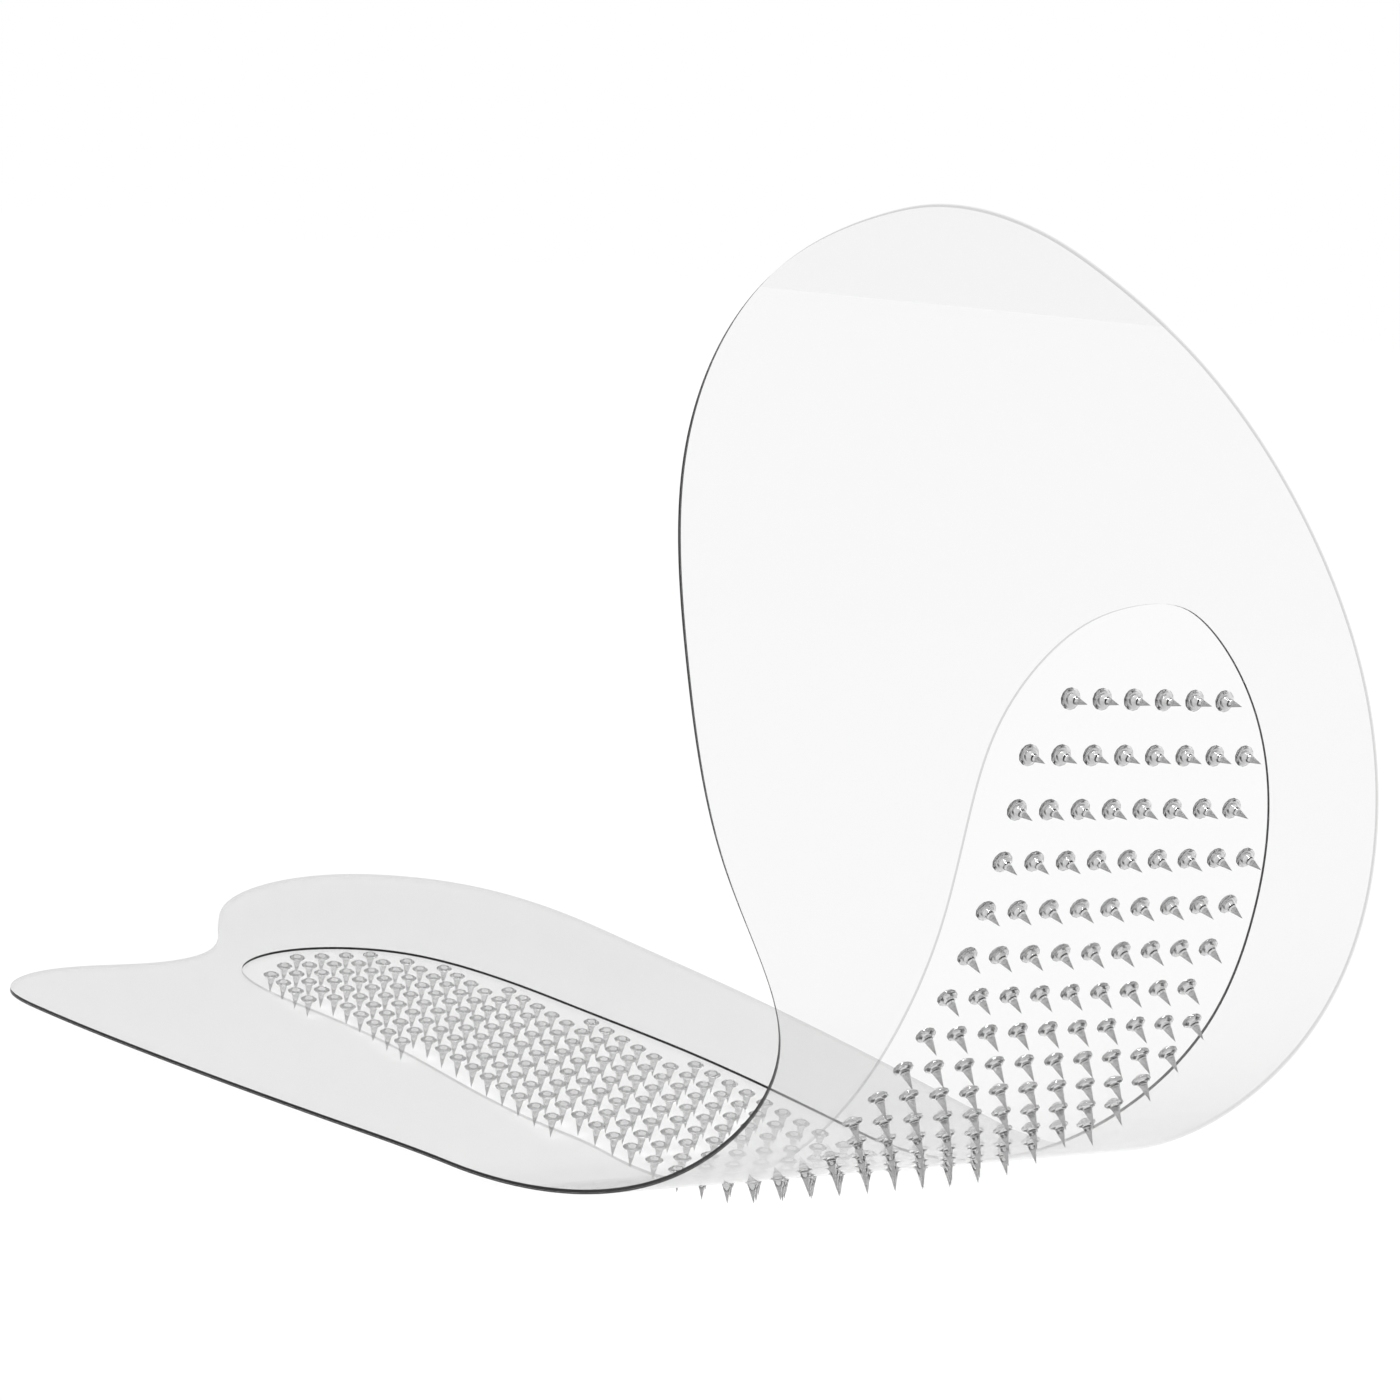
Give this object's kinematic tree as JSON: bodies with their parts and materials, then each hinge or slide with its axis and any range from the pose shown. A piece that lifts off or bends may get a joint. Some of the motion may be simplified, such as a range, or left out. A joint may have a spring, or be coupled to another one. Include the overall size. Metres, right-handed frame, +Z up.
{
  "type": "studded grip pad",
  "caption": "Clear film grip pad, one end curled up, with a windowed border layer and rows of pressed-through cone studs.",
  "frame": {"origin": "middle of the pad's box, at the level of the lowest stud points", "axes": "+Z up from the film's flat part; +Y along the flat part away from the curl; +X across the pad"},
  "size_m": [0.0834, 0.1648, 0.0911],
  "materials": {
    "film_plastic": "clear, smooth",
    "border_plastic": "clear, smooth",
    "stud_plastic": "clear, polished"
  },
  "bodies": {
    "root": {"carrier_film": "film_plastic", "curl_stud_row_01": "stud_plastic", "curl_stud_row_02": "stud_plastic", "curl_stud_row_03": "stud_plastic", "curl_stud_row_04": "stud_plastic", "curl_stud_row_05": "stud_plastic", "curl_stud_row_06": "stud_plastic", "curl_stud_row_07": "stud_plastic", "curl_stud_row_08": "stud_plastic", "curl_stud_row_09": "stud_plastic", "curl_stud_row_10": "stud_plastic", "curl_stud_row_11": "stud_plastic", "curl_stud_row_12": "stud_plastic", "curl_stud_row_13": "stud_plastic", "curl_stud_row_14": "stud_plastic", "curl_stud_row_15": "stud_plastic", "curl_stud_row_16": "stud_plastic", "curl_stud_row_17": "stud_plastic", "curl_stud_row_18": "stud_plastic", "curl_stud_row_19": "stud_plastic", "curl_stud_row_20": "stud_plastic", "flat_stud_row_01": "stud_plastic", "flat_stud_row_02": "stud_plastic", "flat_stud_row_03": "stud_plastic", "flat_stud_row_04": "stud_plastic", "flat_stud_row_05": "stud_plastic", "flat_stud_row_06": "stud_plastic", "flat_stud_row_07": "stud_plastic", "flat_stud_row_08": "stud_plastic", "flat_stud_row_09": "stud_plastic", "flat_stud_row_10": "stud_plastic", "flat_stud_row_11": "stud_plastic", "flat_stud_row_12": "stud_plastic", "flat_stud_row_13": "stud_plastic", "flat_stud_row_14": "stud_plastic", "flat_stud_row_15": "stud_plastic", "flat_stud_row_16": "stud_plastic", "flat_stud_row_17": "stud_plastic", "flat_stud_row_18": "stud_plastic", "flat_stud_row_19": "stud_plastic", "flat_stud_row_20": "stud_plastic", "flat_stud_row_21": "stud_plastic", "flat_stud_row_22": "stud_plastic", "window_border": "border_plastic"}
  },
  "joints": []
}
